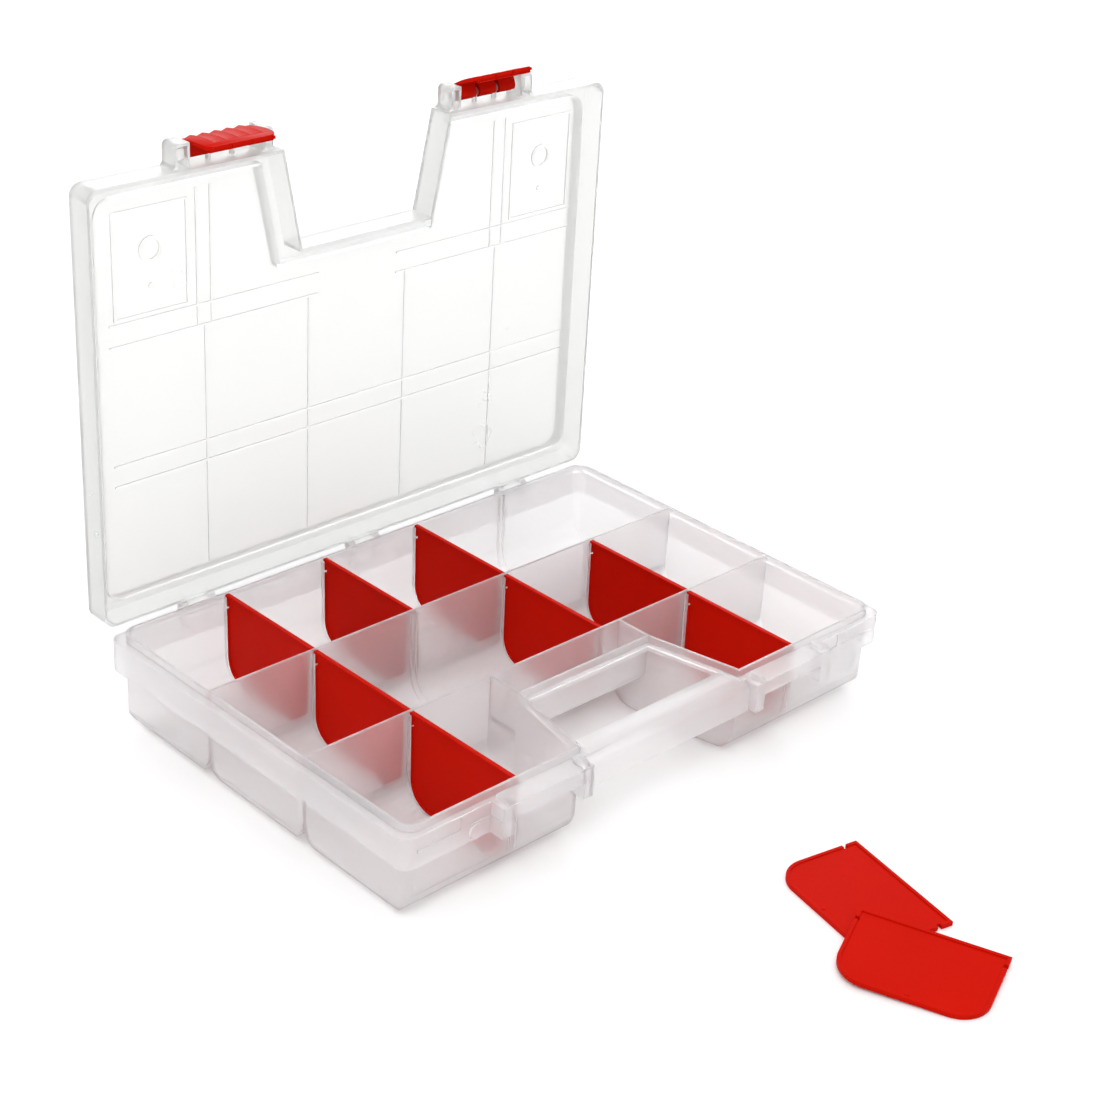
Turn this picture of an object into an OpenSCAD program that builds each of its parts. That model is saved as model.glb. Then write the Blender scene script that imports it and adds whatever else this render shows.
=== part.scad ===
// Compartment case with a hinged lid, two snap latches and lift-out dividers.
// Origin: centre of the face the tray rests on. +X right, +Y towards the hinge, +Z up.

/* [Tray] */
// Distance between neighbouring divider slots
slot_pitch = 70; // [69:0.5:72]
// Distance between neighbouring rows
row_pitch = 80; // [79:0.5:82]
// Height of the tray to the top of its lip
tray_h = 57; // [55:0.5:60]
// Thickness of the tray and lid walls
wall = 1.6; // [1.4:0.1:1.8]
// Draft of the trough walls in degrees
draft = 1; // [0.5:0.25:1.5]
// Inside radius along the bottom of a row
trough_r = 17.5; // [16:0.5:19]
// Inside radius where a row meets its end walls
end_r = 8; // [7:0.5:8.5]
// Inside radius of the upright corners of the case
plan_r = 8; // [6:0.5:8.5]
// Depth of the strip compartment behind the handle
strip_depth = 28; // [24:1:32]

/* [Rim] */
// Overall width of the skirt
case_w = 361; // [361:0.5:362]
// Overall depth of the skirt
case_d = 248; // [248:0.5:249]
// Distance from the top of the lip down to the ledge
ledge_drop = 4; // [3.75:0.25:4.5]
// Height of the skirt below the ledge
skirt_h = 18; // [16:0.5:19]
// Corner radius of the skirt
corner_r = 7; // [6:0.5:8]

/* [Notch and handle] */
// Half width of the notch at its back wall
notch_half = 48.9; // [48:0.1:49.5]
// Distance of the notch's back wall behind the middle of the case, towards the front
notch_back = 62.8; // [62:0.1:63.5]
// How far each side of the notch opens out per millimetre towards the front
notch_flare = 0.21; // [0.19:0.01:0.22]
// Width of the ledge round the notch
notch_ledge = 3.6; // [3.4:0.1:3.8]
// Depth of the handle from front to back
handle_d = 16; // [15:0.5:17]
// Height of the front face of the handle
handle_h = 20; // [18:0.5:21]
// Half length of the handle
handle_half = 64; // [63.5:0.5:64.5]

/* [Lid] */
// Overall thickness of the lid
lid_t = 16; // [15.5:0.25:16.5]
// How far the middle panel is set below the top of the lid
panel_drop = 5.5; // [4.5:0.25:5.75]
// Angle of the open lid
lid_open = 90; // [80:1:90]
// Radius of a hinge pin
pin_r = 1.5; // [1.4:0.05:1.6]
// Radius of a hinge ear
ear_r = 2.7; // [2.6:0.05:2.75]

/* [Latches] */
// Width of a latch
latch_w = 44.6; // [43:0.1:44.8]
// Length of a latch from its hinge edge to its free edge
latch_l = 26.5; // [26:0.25:27.5]
// Thickness of the latch plate
latch_t = 2; // [1.8:0.1:2.2]
// Angle of the left latch from its locked position
latch_left_open = 5; // [5:1:60]
// Angle of the right latch from its locked position
latch_right_open = 27; // [5:1:60]
// Radius of the crown of a latch plate
crown_r = 70; // [60:5:90]
// Grip ribs on a latch
grip_ribs = 5; // [3:1:6]

/* [Dividers] */
// Thickness of a divider's rim
divider_t = 2.6; // [2.4:0.1:2.7]
// Thickness of a divider's web
web_t = 1.2; // [1:0.1:1.4]
// Width of the rim round a divider
rim_w = 2; // [1.6:0.1:2.4]
// Gap on each side between a divider and the trough walls
divider_gap = 0.25; // [0.2:0.05:0.4]

/* [Hidden] */
$fn = 44;
crown_fn = 240;

clear_pp = [0.93, 0.94, 0.95, 0.45];
red_pp = [0.78, 0.06, 0.05];
over = 1;

// Places worked out from the driving sizes
slots = [for (i = [-1.5:1:1.5]) i * slot_pitch];
half_x = 2.5 * slot_pitch;
half_y = 1.5 * row_pitch;
half_w = case_w / 2;
half_d = case_d / 2;
ledge_z = tray_h - ledge_drop;
skirt_z = ledge_z - skirt_h;
lid_top = ledge_z + lid_t;
row_half = row_pitch / 2 - wall / 2;
notch_turn = atan(notch_flare);
notch_corner_r = end_r + 1;
reach = 200;
strip_r = 5;
strip_end_r = 4;

// Handle: level of its top, radius of its front edge and of its upper end corners
handle_top = tray_h - 2.5;
handle_front = half_d + 4;
handle_r = 9;
handle_end_r = 10;
handle_rise = 9;

// Gaps between the closed lid and the tray below and beside it
lid_gap = 0.15;
lid_clear = 0.3;

// Hinge axis, behind the skirt and just below the lip
hinge_y = half_d + 3;
hinge_z = tray_h - 3.35;
hinge_stations = [-120, 0, 120];
tongue_half = 7;
ear_w = 4;
ear_gap = 0.4;
pin_gap = 0.06;

// Latch bays: each spans from bay_in to bay_out on either side of the notch
bay_in = 62.5;
bay_out = 124.5;
lug_in = 69.5;
lug_out = 115.5;
lug_gap = 0.6;
lug_drop = 0.6;
bar_inset = 2.6;
bar_set_back = 0.6;
rail_z = ledge_z - 9.5;
rail_h = 1.8;
rail_t = 1.2;
rail_out = 0.6;
post_x = 16;
post_w = 4;
boss_x = 9.5;
boss_r = 4.5;
latch_x = (lug_in + lug_out) / 2;
catch_y = half_d + 9.5;
catch_z = tray_h - 12;
lid_bay_y = half_d + 13;
axle_y = half_d + 6.5;
axle_z = tray_h + 6;
axle_r = 2;
latch_face = axle_y - lid_bay_y;
latch_end = lid_top - axle_z - 0.4 - latch_l;
fin_w = 1.6;
fin_x = 7.5;
fin_h = 2.8;
axle_rim = 1;
lid_lug_r = 3;

// Dividers
guide_t = 1;
guide_depth = 1.8;
guide_gap = 3;
guide_drop = 1.5;
guide_root = 0.3;
divider_bottom = wall + 0.2;
divider_top = tray_h - 0.2;

// Places of the two loose dividers: middle of the top edge, turn, and lean of the upper one
lower_at = [43, -256];
lower_turn = -102.4;
upper_at = [18, -295];
upper_turn = -67.4;
lean = 2.5;
loose_gap = 0.06;

function half_at(top, z) = top - (tray_h - z) * tan(draft);
function notch_x(y, off) = notch_half + (-notch_back - y) * notch_flare - off / cos(notch_turn);

// Section of a drafted trough: straight sides into two bottom radii
module trough_section(top, floor_z, r) {
    mid_z = floor_z + r;
    mid_x = half_at(top, mid_z) - r / cos(draft);
    side_x = mid_x + r * cos(draft);
    side_z = mid_z - r * sin(draft);
    crown = top + over * tan(draft);
    polygon([
        [-crown, tray_h + over], [crown, tray_h + over], [side_x, side_z],
        [mid_x, floor_z], [-mid_x, floor_z], [-side_x, side_z]
    ]);
    for (side = [-1, 1]) translate([side * mid_x, mid_z]) circle(r);
}

module along_x(length) rotate([90, 0, 90]) linear_extrude(length, center = true) children();

module along_y(length) rotate([90, 0, 0]) linear_extrude(length, center = true) children();

module round_plate(w, d, r) {
    square([w - 2 * r, d], center = true);
    square([w, d - 2 * r], center = true);
    for (x = [-1, 1], y = [-1, 1]) translate([x * (w / 2 - r), y * (d / 2 - r)]) circle(r);
}

// One full-length row; grow is 0 for the space inside and wall for the shell round it
module row(mid_y, grow) {
    intersection() {
        translate([0, mid_y, 0]) along_x(2 * half_x + 20)
            trough_section(row_half + grow, wall - grow, trough_r + grow);
        along_y(2 * half_y + 20)
            trough_section(half_x - wall / 2 + grow, wall - grow, end_r + grow);
        linear_extrude(3 * tray_h, center = true)
            round_plate(2 * half_x - wall + 2 * grow, 2 * half_y - wall + 2 * grow, plan_r + grow);
    }
}

// Half space beside the slanted side of the notch, on the left of the case
module slant_side(grow) {
    translate([-notch_half, -notch_back, 0]) rotate([0, 0, -notch_turn])
        translate([-reach - wall / 2 + grow, 0, 0]) along_y(2 * reach)
            trough_section(reach, wall - grow, end_r + grow);
}

// Half space beside the short wall between the notch and the middle row
module corner_side(grow) {
    translate([-notch_half - reach - wall / 2 + grow, 0, 0]) along_y(2 * reach)
        trough_section(reach, wall - grow, notch_corner_r + grow);
}

module front_section(side, grow) {
    mirror([side > 0 ? 1 : 0, 0, 0]) intersection() {
        row(-row_pitch, grow);
        slant_side(grow);
        corner_side(grow);
    }
}

module strip(grow) {
    front = -notch_back + wall / 2;
    back = -row_pitch / 2 - wall / 2;
    floor_z = tray_h - strip_depth;
    intersection() {
        translate([0, (front + back) / 2, 0]) along_x(2 * notch_half - wall + 2 * grow)
            trough_section((back - front) / 2 + grow, floor_z - grow, strip_r + grow);
        along_y(2 * half_y)
            trough_section(notch_half - wall / 2 + grow, floor_z - grow, strip_end_r + grow);
    }
}

module compartments(grow) {
    row(row_pitch, grow);
    row(0, grow);
    front_section(-1, grow);
    front_section(1, grow);
    strip(grow);
}

// The shell round all the compartments, level at the top of the lip
module trough_shell() {
    intersection() {
        compartments(wall);
        translate([-half_w, -half_d, 0]) cube([case_w, case_d, tray_h]);
    }
}

// Plan of the case: a rounded plate with the notch cut out of its front edge
module notch_plan(inset) {
    back_y = -notch_back - inset;
    front_y = -half_d - 30;
    polygon([
        [-notch_x(back_y, inset), back_y], [notch_x(back_y, inset), back_y],
        [notch_x(front_y, inset), front_y], [-notch_x(front_y, inset), front_y]
    ]);
}

module case_plan(inset) {
    difference() {
        round_plate(case_w - 2 * inset, case_d - 2 * inset, corner_r - inset);
        notch_plan(notch_ledge - inset);
    }
}

module ledge() {
    translate([0, 0, ledge_z - wall]) linear_extrude(wall) case_plan(0);
}

// The skirt leaves room for the catch bays and for the notch
module skirt() {
    difference() {
        translate([0, 0, skirt_z]) linear_extrude(skirt_h) difference() {
            round_plate(case_w, case_d, corner_r);
            round_plate(case_w - 2 * wall, case_d - 2 * wall, corner_r - wall);
        }
        translate([-bay_out, -half_d - over, skirt_z - over])
            cube([2 * bay_out, wall + 2 * over, skirt_h + over - wall]);
    }
}

// Short return under the ledge along the notch
module notch_return() {
    drop = 3;
    translate([0, 0, ledge_z - drop]) linear_extrude(drop) intersection() {
        difference() {
            notch_plan(notch_ledge - 1.2);
            notch_plan(notch_ledge);
        }
        translate([-notch_half - 20, -half_d + 4]) square([2 * notch_half + 40, half_d]);
    }
}

module handle_section(grow) {
    front = -handle_front - grow;
    top = handle_top + grow;
    bottom = handle_top - handle_h;
    r = handle_r + grow;
    translate([front, bottom]) square([handle_d + 2 * grow, top - bottom - r]);
    translate([front + r, bottom]) square([handle_d + 2 * grow - r, top - bottom]);
    translate([front + r, top - r]) circle(r);
}

// Front view of the handle: round upper corners at its ends
module handle_face() {
    r = handle_end_r;
    translate([0, handle_top - handle_h]) {
        translate([-handle_half, 0]) square([2 * handle_half, handle_h - r]);
        translate([r - handle_half, 0]) square([2 * (handle_half - r), handle_h]);
        for (x = [-1, 1]) translate([x * (handle_half - r), handle_h - r]) circle(r);
    }
}

// Channel open at the bottom
module handle() {
    difference() {
        intersection() {
            along_x(2 * handle_half) handle_section(0);
            along_y(3 * half_d) handle_face();
        }
        translate([0, 0, -over]) along_x(2 * (handle_half - wall)) handle_section(-wall);
        translate([-notch_half, -handle_front + handle_d - wall - over, 0])
            cube([2 * notch_half, wall + 2 * over, handle_top - handle_rise]);
    }
}

// Space of the closed lid's skirt, which the handle's ends and the lugs leave free
module lid_room() {
    translate([0, 0, ledge_z]) linear_extrude(lid_t) case_plan(-lid_clear);
}

// Catch bay on the right: two lugs, a top plate and a front wall that the latch hooks under
module catch_bay() {
    depth = catch_y - half_d + wall;
    translate([bay_in, -catch_y, ledge_z - wall]) cube([bay_out - bay_in, depth, wall]);
    translate([bay_in, -catch_y, catch_z]) cube([bay_out - bay_in, wall, ledge_z - catch_z]);
    lug(bay_in, lug_in - lug_gap);
    lug(lug_out + lug_gap, bay_out);
    lug_bar(bay_in + bar_inset, lug_in - lug_gap);
    lug_bar(lug_out + lug_gap, bay_out - bar_inset);
    bay_rails();
}

// Box open at the bottom, with a rail across it inside
module lug(from_x, to_x) {
    depth = catch_y - half_d + wall;
    width = to_x - from_x;
    difference() {
        translate([from_x, -catch_y, skirt_z]) cube([width, depth, ledge_z - skirt_z]);
        translate([from_x + wall, -catch_y + wall, skirt_z - over])
            cube([width - 2 * wall, depth, ledge_z - skirt_z - wall + over]);
    }
    translate([from_x, -catch_y, rail_z]) cube([width, depth, rail_t]);
}

// Raised bar on top of a lug, rounded at its front
module lug_bar(from_x, to_x) {
    r = tray_h - lug_drop - ledge_z;
    middle_y = -catch_y + bar_set_back + r;
    translate([(from_x + to_x) / 2, 0, 0]) along_x(to_x - from_x) intersection() {
        union() {
            translate([middle_y, ledge_z]) circle(r);
            translate([middle_y, ledge_z - r]) square([-half_d - middle_y, 2 * r]);
        }
        translate([-catch_y, ledge_z - wall / 2]) square([catch_y, r + wall]);
    }
}

// Rails, a post and a round boss on the skirt beside the bay
module bay_rails() {
    length = half_w - corner_r - over - bay_out;
    root = 0.5;
    translate([bay_out - root, -half_d - rail_out, rail_z]) cube([length, rail_out + root, rail_h]);
    translate([bay_out - root, -catch_y + rail_out, rail_z])
        cube([root + rail_out, catch_y - half_d, rail_h]);
    translate([bay_out + post_x, -half_d - rail_out, rail_z])
        cube([post_w, rail_out + root, ledge_z - rail_out - rail_z]);
    translate([bay_out + boss_x, -half_d + root, skirt_z + boss_r + root]) rotate([90, 0, 0])
        cylinder(r = boss_r, h = root + 2 * rail_out);
}

// Upright ribs outside the front wall, on both sides of a divider's edge
module slot_ribs() {
    rib_w = 1;
    rib_out = 0.7;
    low_z = 14;
    spread = (guide_gap + guide_t) / 2;
    for (x = [slots[0], slots[3]], side = [-1, 1]) translate([x + side * spread, 0, 0]) intersection() {
        translate([0, -row_pitch, 0]) along_x(rib_w) difference() {
            trough_section(row_half + wall + rib_out, -rib_out, trough_r + wall + rib_out);
            trough_section(row_half + wall / 2, wall / 2, trough_r + wall / 2);
        }
        translate([-rib_w, -half_d, low_z]) cube([2 * rib_w, half_d - row_pitch, skirt_z + wall - low_z]);
    }
}

module front_fittings() {
    handle();
    catch_bay();
    mirror([1, 0, 0]) catch_bay();
}

module guide(x, mid_y) {
    translate([x, mid_y, 0]) intersection() {
        along_x(guide_t) difference() {
            trough_section(row_half + guide_root, wall - guide_root, trough_r + guide_root);
            trough_section(row_half - guide_depth, wall, trough_r - guide_depth);
        }
        translate([-guide_t, -row_pitch, 0]) cube([2 * guide_t, 2 * row_pitch, tray_h - guide_drop]);
    }
}

module guides() {
    offset_x = (guide_gap + guide_t) / 2;
    for (x = slots, side = [-1, 1]) {
        guide(x + side * offset_x, row_pitch);
        guide(x + side * offset_x, 0);
    }
    for (x = [slots[0], slots[3]], side = [-1, 1]) guide(x + side * offset_x, -row_pitch);
}

module hinge_ears() {
    inner = tongue_half + ear_gap;
    for (station = hinge_stations, side = [-1, 1])
        translate([station + side * (inner + ear_w / 2), 0, 0]) difference() {
            union() {
                translate([0, hinge_y, hinge_z]) along_x(ear_w) circle(ear_r);
                translate([-ear_w / 2, half_d - wall, skirt_z + 6])
                    cube([ear_w, hinge_y - half_d + wall, ledge_z - skirt_z - 6 - wall / 2]);
                along_x(ear_w) polygon([
                    [hinge_y - 0.5, skirt_z + 6], [hinge_y + ear_r, hinge_z - 6],
                    [hinge_y + ear_r, hinge_z], [half_d + 0.5, hinge_z - 1.5]
                ]);
            }
            translate([0, hinge_y, hinge_z]) along_x(ear_w + 2 * over) circle(pin_r + pin_gap);
        }
}

module base_tray() color(clear_pp) {
    difference() {
        union() {
            trough_shell();
            ledge();
            skirt();
            difference() {
                front_fittings();
                lid_room();
            }
            hinge_ears();
            slot_ribs();
            notch_return();
        }
        compartments(0);
    }
    guides();
}

// Lid, drawn closed and then swung open about the hinge axis
module panel_plan(inset) {
    border = 8;
    difference() {
        round_plate(case_w - 2 * (border + wall + inset), case_d - 2 * (border + wall + inset), 10 - inset);
        notch_plan(-border - inset);
    }
}

module lid_shell() {
    panel_top = lid_top - panel_drop;
    difference() {
        translate([0, 0, ledge_z + lid_gap]) linear_extrude(lid_t - lid_gap) case_plan(0);
        translate([0, 0, ledge_z - over]) linear_extrude(lid_t - wall + over) case_plan(wall);
        translate([0, 0, panel_top]) linear_extrude(lid_t) panel_plan(0);
    }
    translate([0, 0, panel_top - wall]) linear_extrude(wall) panel_plan(0);
    translate([0, 0, panel_top - wall]) linear_extrude(panel_drop + wall) difference() {
        panel_plan(-wall);
        panel_plan(0);
    }
}

module lid_ribs() {
    rib_h = 1;
    rib_w = 1;
    rib_z = lid_top - panel_drop - wall - rib_h + 0.2;
    span = 2 * half_x - 20;
    translate([0, 0, rib_z]) {
        for (y = [row_pitch / 2 - 6, row_pitch / 2 + 6])
            translate([-span / 2, y - rib_w / 2, 0]) cube([span, rib_w, rib_h]);
        for (side = [-1, 1], y = [-row_pitch / 2 - 6, -row_pitch / 2 + 6])
            translate([side * (span / 4 + 14) - span / 4 + 14, y - rib_w / 2, 0])
                cube([span / 2 - 28, rib_w, rib_h]);
        for (x = [slots[0], slots[3]], off = [-4.5, 4.5])
            translate([x + off - rib_w / 2, -half_y + 9, 0]) cube([rib_w, half_y - row_pitch / 2 - 3, rib_h]);
        for (x = slots)
            translate([x - rib_w / 2, -row_pitch / 2 + 6, 0]) cube([rib_w, half_y + row_pitch / 2 - 16, rib_h]);
    }
}

// Sunken panel with a ring and a dot, in each front corner of the lid
module corner_panel() {
    rib_h = 1;
    face = lid_top - panel_drop - wall;
    translate([138.5, -77.5, face - rib_h + 0.2]) {
        linear_extrude(rib_h) difference() {
            square([47, 59], center = true);
            square([44.6, 56.6], center = true);
        }
        translate([0, -6, 0]) linear_extrude(rib_h) difference() {
            circle(7);
            circle(5.6);
        }
        translate([0, 14, 0]) cylinder(r = 1.5, h = rib_h);
    }
}

// Plan of a lid lug on the right of a latch, its latch side at x = 0 and the lid's front at y = 0
module lid_lug_plan(width, depth) {
    r = lid_lug_r;
    overlap = 0.3;
    translate([0, r - depth]) square([width, depth - r + wall]);
    translate([0, -depth]) square([width - r, depth]);
    translate([width - r, r - depth]) circle(r);
    difference() {
        translate([width - overlap, -r]) square([r + overlap, r + overlap]);
        translate([width + r, -r]) circle(r + overlap / 2);
    }
}

module lid_lug(width) {
    depth = lid_bay_y - half_d;
    difference() {
        translate([0, -half_d, tray_h]) linear_extrude(lid_top - tray_h) lid_lug_plan(width, depth);
        translate([wall, wall - lid_bay_y, tray_h - over])
            cube([width - 2 * wall, depth - wall, lid_top - tray_h - wall + over]);
    }
    translate([0, -axle_y - axle_r - axle_rim, axle_z - axle_r - axle_rim])
        cube([width - lid_lug_r, 2 * (axle_r + axle_rim), lid_top - axle_z + axle_r]);
}

module lid_bay() {
    translate([lug_out, 0, 0]) lid_lug(bay_out - lug_out);
    translate([lug_in, 0, 0]) mirror([1, 0, 0]) lid_lug(lug_in - bay_in);
    translate([latch_x, -axle_y, axle_z]) along_x(lug_out - lug_in + 2) circle(axle_r);
    for (x = [-fin_x, fin_x]) translate([latch_x + x - fin_w / 2, -axle_y, axle_z - fin_h / 2])
        cube([fin_w, axle_y - half_d + wall / 2, fin_h]);
}

module hinge_tongues() {
    for (station = hinge_stations) translate([station, 0, 0]) {
        translate([0, hinge_y, hinge_z]) along_x(2 * (tongue_half + ear_gap + ear_w)) circle(pin_r);
        translate([0, hinge_y, hinge_z]) along_x(2 * tongue_half) circle(ear_r);
        translate([-tongue_half, half_d - wall / 2, hinge_z])
            cube([2 * tongue_half, hinge_y - half_d + wall / 2, ear_r]);
        along_x(2 * tongue_half) polygon([
            [half_d - wall / 2, hinge_z + ear_r - 0.5], [hinge_y, hinge_z + ear_r - 0.5],
            [half_d - wall / 2, hinge_z + ear_r + 5]
        ]);
    }
}

module lid_closed() {
    lid_shell();
    lid_ribs();
    hinge_tongues();
    for (side = [0, 1]) mirror([side, 0, 0]) {
        corner_panel();
        lid_bay();
    }
}

module swing_lid() {
    translate([0, hinge_y, hinge_z]) rotate([-lid_open, 0, 0]) translate([0, -hinge_y, -hinge_z]) children();
}

module lid() color(clear_pp) swing_lid() lid_closed();

// Latch, drawn about its axle in the locked position, with its crowned plate hanging down
module latch_shape() {
    latch_plate();
    latch_clip();
    latch_hook();
    latch_grips();
}

// Front view of the plate, drawn out from front to back
module latch_block() {
    corner = 5;
    front = 2;
    depth = 6;
    translate([0, latch_face - front + depth, 0]) rotate([90, 0, 0]) linear_extrude(depth) {
        translate([-latch_w / 2, latch_end + corner]) square([latch_w, latch_l - corner]);
        translate([corner - latch_w / 2, latch_end]) square([latch_w - 2 * corner, latch_l]);
        for (x = [-1, 1]) translate([x * (latch_w / 2 - corner), latch_end + corner]) circle(corner);
    }
}

module latch_plate() {
    intersection() {
        translate([0, latch_face + crown_r, latch_end + latch_l / 2]) along_x(latch_w + 2) difference() {
            circle(crown_r, $fn = crown_fn);
            circle(crown_r - latch_t, $fn = crown_fn);
        }
        latch_block();
    }
}

module latch_clip() {
    clip_r = 3.6;
    slit = 2.6;
    fin_gap = 1.3;
    end_x = 21;
    root_y = latch_face + latch_t - 0.2;
    segments = [[-end_x, -fin_x - fin_gap], [fin_gap - fin_x, fin_x - fin_gap], [fin_x + fin_gap, end_x]];
    for (s = segments) translate([(s[0] + s[1]) / 2, 0, 0]) along_x(s[1] - s[0]) difference() {
        union() {
            circle(clip_r);
            translate([root_y, -clip_r]) square([-root_y, 2 * clip_r - 1.2]);
        }
        circle(axle_r + pin_gap);
        translate([0, -slit / 2]) square([clip_r + over, slit]);
    }
}

// Rib that hooks under the catch bay's front wall, stiffened by four short fins
module latch_hook() {
    hook_z = catch_z - 0.3 - axle_z;
    hook_y = axle_y + 1 - catch_y;
    hook_t = 1.6;
    hook_half = 20;
    fin_t = 1.2;
    fin_drop = 3.4;
    root_y = latch_face + latch_t - 0.2;
    translate([-hook_half, root_y, hook_z - hook_t]) cube([2 * hook_half, hook_y - root_y, hook_t]);
    for (i = [0:3]) translate([-hook_half + i * (2 * hook_half - fin_t) / 3, root_y, hook_z - fin_drop])
        cube([fin_t, hook_t, fin_drop]);
}

// Grip ribs: curved wedges, proud at the hinge end and sinking into the plate at the free end
module latch_grips() {
    pitch = (latch_w - 6) / grip_ribs;
    sink = 3.5;
    intersection() {
        for (i = [0:grip_ribs - 1])
            translate([(i - (grip_ribs - 1) / 2) * pitch, latch_face + crown_r, latch_end + latch_l / 2 + sink])
                rotate([0, 90, 0]) rotate_extrude($fn = crown_fn)
                polygon([[crown_r - 0.8, -3], [crown_r - 0.8, 3], [crown_r + 0.5, 1.2]]);
        latch_block();
    }
}

module latch_at(side, open) {
    swing_lid() translate([side * latch_x, -axle_y, axle_z]) rotate([-open, 0, 0]) latch_shape();
}

module latch_left() color(red_pp) latch_at(-1, latch_left_open);

module latch_right() color(red_pp) latch_at(1, latch_right_open);

// Divider, drawn standing with its middle plane at x = 0 and its row's middle at y = 0
module divider_outline(inset) {
    intersection() {
        trough_section(row_half - divider_gap - inset, divider_bottom + inset, trough_r - divider_gap - inset);
        translate([-row_pitch, 0]) square([2 * row_pitch, divider_top - inset]);
    }
}

module divider() {
    notch_z = divider_top - 9.5;
    difference() {
        along_x(divider_t) divider_outline(0);
        for (side = [-1, 1]) translate([side * (divider_t + web_t) / 2, 0, 0])
            along_x(divider_t) divider_outline(rim_w);
        for (side = [-1, 1]) translate([-divider_t, side * row_half - 2.8, notch_z])
            cube([2 * divider_t, 5.6, 2.4]);
    }
    translate([0, 0, divider_bottom + rim_w + 1.6]) rotate([0, 90, 0])
        cylinder(r = 1.1, h = web_t + 0.8, center = true);
}

module fitted_divider(column, mid_y) color(red_pp) translate([slots[column - 1], mid_y, 0]) divider();

// A divider laid flat, its top edge's middle at the origin and its foot towards -Y
module laid_divider() rotate([0, 0, -90]) rotate([0, -90, 0]) translate([0, 0, -divider_top]) divider();

module divider_loose_lower() color(red_pp)
    translate([lower_at[0], lower_at[1], divider_t / 2]) rotate([0, 0, lower_turn]) laid_divider();

// The upper loose divider leans on the near side of the lower one
module divider_loose_upper() color(red_pp) {
    edge = lower_at + (row_half - divider_gap) * [cos(lower_turn), sin(lower_turn)];
    translate([edge[0], edge[1], divider_t + loose_gap])
        rotate(a = lean, v = [-sin(lower_turn), cos(lower_turn), 0])
        translate([upper_at[0] - edge[0], upper_at[1] - edge[1], divider_t / 2])
        rotate([0, 0, upper_turn]) laid_divider();
}

base_tray();
lid();
latch_left();
latch_right();
fitted_divider(1, row_pitch);  // divider_back_1
fitted_divider(2, row_pitch);  // divider_back_2
fitted_divider(3, row_pitch);  // divider_back_3
fitted_divider(1, 0);  // divider_middle_1
fitted_divider(3, 0);  // divider_middle_3
fitted_divider(4, 0);  // divider_middle_4
fitted_divider(1, -row_pitch);  // divider_front_1
fitted_divider(4, -row_pitch);  // divider_front_4
divider_loose_lower();
divider_loose_upper();
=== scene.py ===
"""Looks for the compartment case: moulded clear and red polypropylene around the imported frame."""
import math

import bpy
from mathutils import Matrix, Vector


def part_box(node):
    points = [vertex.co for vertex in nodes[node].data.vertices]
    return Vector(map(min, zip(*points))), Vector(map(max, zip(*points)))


MM = 0.001

# Share of the light that passes through the clear plastic; the rest scatters as white haze
CLARITY = 0.82
TRAY_TINT = (1.0, 0.99, 0.995)
LID_TINT = (0.94, 0.945, 0.935)
# Strength of the tint in the flow marks, and how far they change the roughness either way
CLEAR_FLOW_SHADE = 0.985
FLOW_ROUGHNESS = 0.03

RED = (0.54, 0.006, 0.001)
RED_FLOW_SHADE = 0.86
# Kept low, as the white studio would wash out the red
RED_SPECULAR = 0.02
GRAIN_STRENGTH = 0.2
GRAIN_DEPTH = 0.04 * MM

FLOOR_SIZE = 12.0
FLOOR_GAP = 0.2 * MM

WELD_GAP = 0.01 * MM
FLAT_ANGLE = math.radians(1)
EDGE_ANGLE = math.radians(35)
EDGE_WIDTH = 0.35 * MM

# Strength of the sky: at the horizon on the camera's side, at the horizon behind the case, and overhead
SKY_IN_FRONT = 0.42
SKY_BEHIND = 0.95
SKY_OVERHEAD = 1.2
AWAY_FROM_CAMERA = (0.71, 0.71, 0)
LAMP_TARGET = (0, 0, 0.1)

CAMERA_AZIMUTH = math.radians(-45.3)
CAMERA_ELEVATION = math.radians(27.6)
CAMERA_ROLL = math.radians(3.5)
CAMERA_DISTANCE = 1.2434
AIM_FROM_TRAY_CENTRE = Vector((0.036, 0.007, 0.058))
LENS = 72.0

# Light passes many walls of clear plastic on its way to the camera
LIGHT_BOUNCES = 24
DIFFUSE_BOUNCES = 8

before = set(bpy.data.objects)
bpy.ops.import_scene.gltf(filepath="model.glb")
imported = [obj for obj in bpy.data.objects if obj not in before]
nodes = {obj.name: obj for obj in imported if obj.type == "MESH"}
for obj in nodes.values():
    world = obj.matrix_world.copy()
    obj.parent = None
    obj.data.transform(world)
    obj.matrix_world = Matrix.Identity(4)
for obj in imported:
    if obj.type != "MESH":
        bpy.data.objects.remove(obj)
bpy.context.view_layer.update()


# ---------------------------------------------------------------- nodes

def feed(tree, socket, value):
    """Links another node's output to a socket, or sets the socket's own value."""
    if isinstance(value, bpy.types.NodeSocket):
        tree.links.new(value, socket)
    else:
        socket.default_value = value


def new_material(name):
    """A material with an empty node tree, its output node and a helper that adds nodes."""
    material = bpy.data.materials.new(name)
    material.use_nodes = True
    tree = material.node_tree
    tree.nodes.clear()
    output = tree.nodes.new("ShaderNodeOutputMaterial")

    def add(kind, **inputs):
        node = tree.nodes.new("ShaderNode" + kind)
        for key, value in inputs.items():
            feed(tree, node.inputs[key.replace("_", " ")], value)
        return node

    return material, tree, output, add


def noise(add, position, scale, detail=2.0, roughness=0.5):
    """Noise of a given scale per metre on the piece's own coordinates."""
    return add("TexNoise", Vector=position, Scale=scale, Detail=detail, Roughness=roughness).outputs["Fac"]


def ramp(add, value, to_low, to_high):
    """Maps the middle of a noise's range onto another range."""
    node = add("MapRange", Value=value, From_Min=0.3, From_Max=0.7, To_Min=to_low, To_Max=to_high)
    return node.outputs["Result"]


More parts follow.
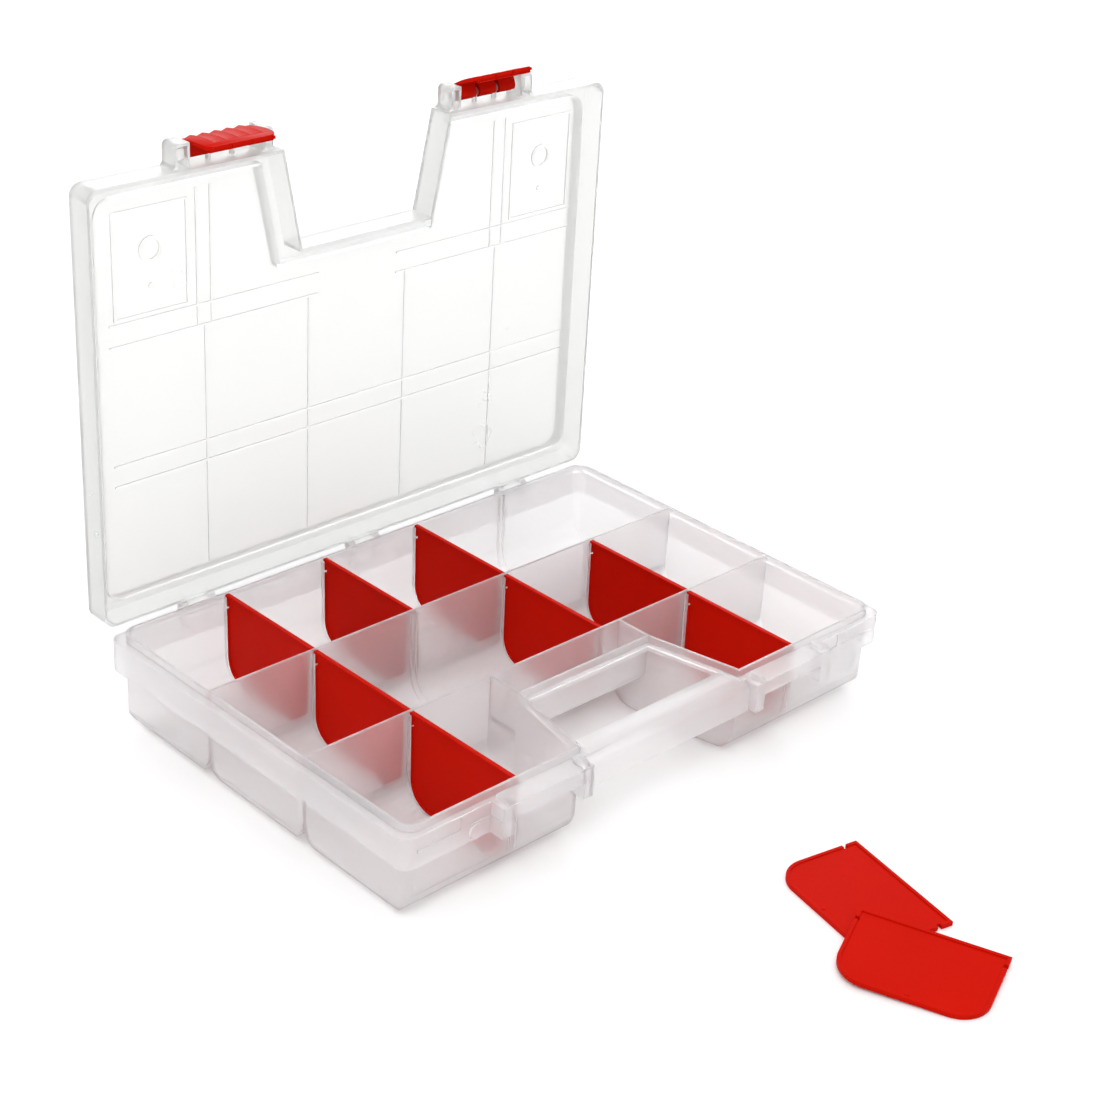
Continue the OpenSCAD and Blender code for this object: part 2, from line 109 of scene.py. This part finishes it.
def mix_colour(tree, add, factor, first, second):
    node = add("Mix")
    node.data_type = "RGBA"
    feed(tree, node.inputs["Factor"], factor)
    # A Mix node's colours are its inputs 6 and 7 and its output 2
    feed(tree, node.inputs[6], first)
    feed(tree, node.inputs[7], second)
    return node.outputs[2]


def shade(colour, share):
    """A colour at a share of its strength, as a socket takes it."""
    return (*[c * share for c in colour], 1)


# ---------------------------------------------------------------- materials

def clear_plastic(name, tint, roughness, ior):
    """Natural polypropylene: light passes through, but what is behind it blurs."""
    material, tree, output, add = new_material(name)
    position = add("TexCoord").outputs["Object"]
    flow = noise(add, position, scale=14.0, detail=4.0, roughness=0.6)
    colour = mix_colour(tree, add, flow, shade(tint, CLEAR_FLOW_SHADE), shade(tint, 1))
    body = add("BsdfPrincipled", Base_Color=colour, IOR=ior)
    cloudy = ramp(add, flow, roughness - FLOW_ROUGHNESS, roughness + FLOW_ROUGHNESS)
    tree.links.new(cloudy, body.inputs["Roughness"])
    body.inputs["Transmission Weight"].default_value = CLARITY
    tree.links.new(body.outputs["BSDF"], output.inputs["Surface"])
    return material


def red_plastic(name, roughness):
    """Opaque red polypropylene with a fine moulded grain and faint flow marks."""
    material, tree, output, add = new_material(name)
    position = add("TexCoord").outputs["Object"]
    flow = noise(add, position, scale=25.0, detail=4.0, roughness=0.55)
    grain = noise(add, position, scale=1400.0)
    colour = mix_colour(tree, add, flow, shade(RED, RED_FLOW_SHADE), shade(RED, 1))
    bump = add("Bump", Height=grain, Strength=GRAIN_STRENGTH, Distance=GRAIN_DEPTH).outputs["Normal"]
    body = add("BsdfPrincipled", Base_Color=colour, Normal=bump, IOR=1.49)
    tree.links.new(ramp(add, grain, roughness - 0.05, roughness + 0.07), body.inputs["Roughness"])
    body.inputs["Specular IOR Level"].default_value = RED_SPECULAR
    tree.links.new(body.outputs["BSDF"], output.inputs["Surface"])
    return material


def floor_material():
    material, tree, output, add = new_material("pale_floor")
    position = add("TexCoord").outputs["Object"]
    patches = noise(add, position, scale=3.0)
    colour = mix_colour(tree, add, patches, (0.9, 0.9, 0.9, 1), (0.92, 0.92, 0.92, 1))
    body = add("BsdfPrincipled", Base_Color=colour, Roughness=0.7)
    tree.links.new(body.outputs["BSDF"], output.inputs["Surface"])
    return material


# ---------------------------------------------------------------- pieces

def soften(piece):
    """Rounds the sharp edges a little, as a moulding's are."""
    weld = piece.modifiers.new("weld", "WELD")
    weld.merge_threshold = WELD_GAP
    flat = piece.modifiers.new("flat", "DECIMATE")
    flat.decimate_type = "DISSOLVE"
    flat.angle_limit = FLAT_ANGLE
    bevel = piece.modifiers.new("bevel", "BEVEL")
    bevel.width = EDGE_WIDTH
    bevel.segments = 2
    bevel.limit_method = "ANGLE"
    bevel.angle_limit = EDGE_ANGLE
    bevel.harden_normals = True


def dress(node, material):
    """Gives a CAD node its material and softens its edges."""
    piece = nodes[node]
    piece.data.materials.clear()
    piece.data.materials.append(material)
    soften(piece)


tray_plastic = clear_plastic("tray_plastic", TRAY_TINT, roughness=0.38, ior=1.22)
lid_plastic = clear_plastic("lid_plastic", LID_TINT, roughness=0.3, ior=1.35)
divider_plastic = red_plastic("divider_plastic", roughness=0.3)
latch_plastic = red_plastic("latch_plastic", roughness=0.32)

for node in nodes:
    if node == "base_tray":
        dress(node, tray_plastic)
    elif node == "lid":
        dress(node, lid_plastic)
    elif node.startswith("latch"):
        dress(node, latch_plastic)
    else:
        dress(node, divider_plastic)


# ---------------------------------------------------------------- studio

def add_floor():
    half = FLOOR_SIZE / 2
    mesh = bpy.data.meshes.new("floor")
    corners = [(x * half, y * half, -FLOOR_GAP) for x, y in ((-1, -1), (1, -1), (1, 1), (-1, 1))]
    mesh.from_pydata(corners, [], [(0, 1, 2, 3)])
    floor = bpy.data.objects.new("floor", mesh)
    floor.data.materials.append(floor_material())
    bpy.context.collection.objects.link(floor)


def add_lamp(name, place, size, watts):
    data = bpy.data.lights.new(name, "AREA")
    data.shape = "SQUARE"
    data.size = size
    data.energy = watts
    lamp = bpy.data.objects.new(name, data)
    lamp.location = place
    lamp.rotation_euler = (Vector(LAMP_TARGET) - Vector(place)).to_track_quat("-Z", "Y").to_euler()
    bpy.context.collection.objects.link(lamp)


def add_world():
    """A white studio, brightest overhead and brighter behind the case than in front of it."""
    world = bpy.data.worlds.new("studio")
    world.use_nodes = True
    tree = world.node_tree
    direction = tree.nodes.new("ShaderNodeTexCoord").outputs["Generated"]

    def spread(value, low, high, to_low, to_high, style):
        """Maps one range onto another; the ends of the second may be sockets."""
        node = tree.nodes.new("ShaderNodeMapRange")
        node.interpolation_type = style
        ends = {"Value": value, "From Min": low, "From Max": high, "To Min": to_low, "To Max": to_high}
        for key, end in ends.items():
            feed(tree, node.inputs[key], end)
        return node.outputs["Result"]

    towards_back = tree.nodes.new("ShaderNodeVectorMath")
    towards_back.operation = "DOT_PRODUCT"
    towards_back.inputs[1].default_value = AWAY_FROM_CAMERA
    tree.links.new(direction, towards_back.inputs[0])
    split = tree.nodes.new("ShaderNodeSeparateXYZ")
    tree.links.new(direction, split.inputs["Vector"])
    horizon = spread(towards_back.outputs["Value"], -1, 1, SKY_IN_FRONT, SKY_BEHIND, "LINEAR")
    strength = spread(split.outputs["Z"], 0, 1, horizon, SKY_OVERHEAD, "SMOOTHSTEP")
    background = tree.nodes["Background"]
    background.inputs["Color"].default_value = (1, 1, 1, 1)
    tree.links.new(strength, background.inputs["Strength"])
    bpy.context.scene.world = world


def add_camera():
    low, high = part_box("base_tray")
    aim = (low + high) / 2 + AIM_FROM_TRAY_CENTRE
    across = math.cos(CAMERA_ELEVATION)
    back = Vector((
        math.sin(CAMERA_AZIMUTH) * across,
        -math.cos(CAMERA_AZIMUTH) * across,
        math.sin(CAMERA_ELEVATION),
    ))
    data = bpy.data.cameras.new("camera")
    data.lens = LENS
    data.clip_start, data.clip_end = 0.05, 50
    camera = bpy.data.objects.new("camera", data)
    place = Matrix.Translation(aim + back * CAMERA_DISTANCE)
    level = (-back).to_track_quat("-Z", "Y").to_matrix().to_4x4()
    camera.matrix_world = place @ level @ Matrix.Rotation(CAMERA_ROLL, 4, "Z")
    bpy.context.collection.objects.link(camera)
    bpy.context.scene.camera = camera


add_floor()
add_world()
add_lamp("key", place=(-1.2, -1.0, 1.8), size=1.2, watts=18)
add_lamp("rim", place=(1.4, 1.6, 1.2), size=1.4, watts=10)
add_camera()

scene = bpy.context.scene
scene.view_settings.view_transform = "Standard"
scene.cycles.max_bounces = LIGHT_BOUNCES
scene.cycles.transmission_bounces = LIGHT_BOUNCES
scene.cycles.diffuse_bounces = DIFFUSE_BOUNCES
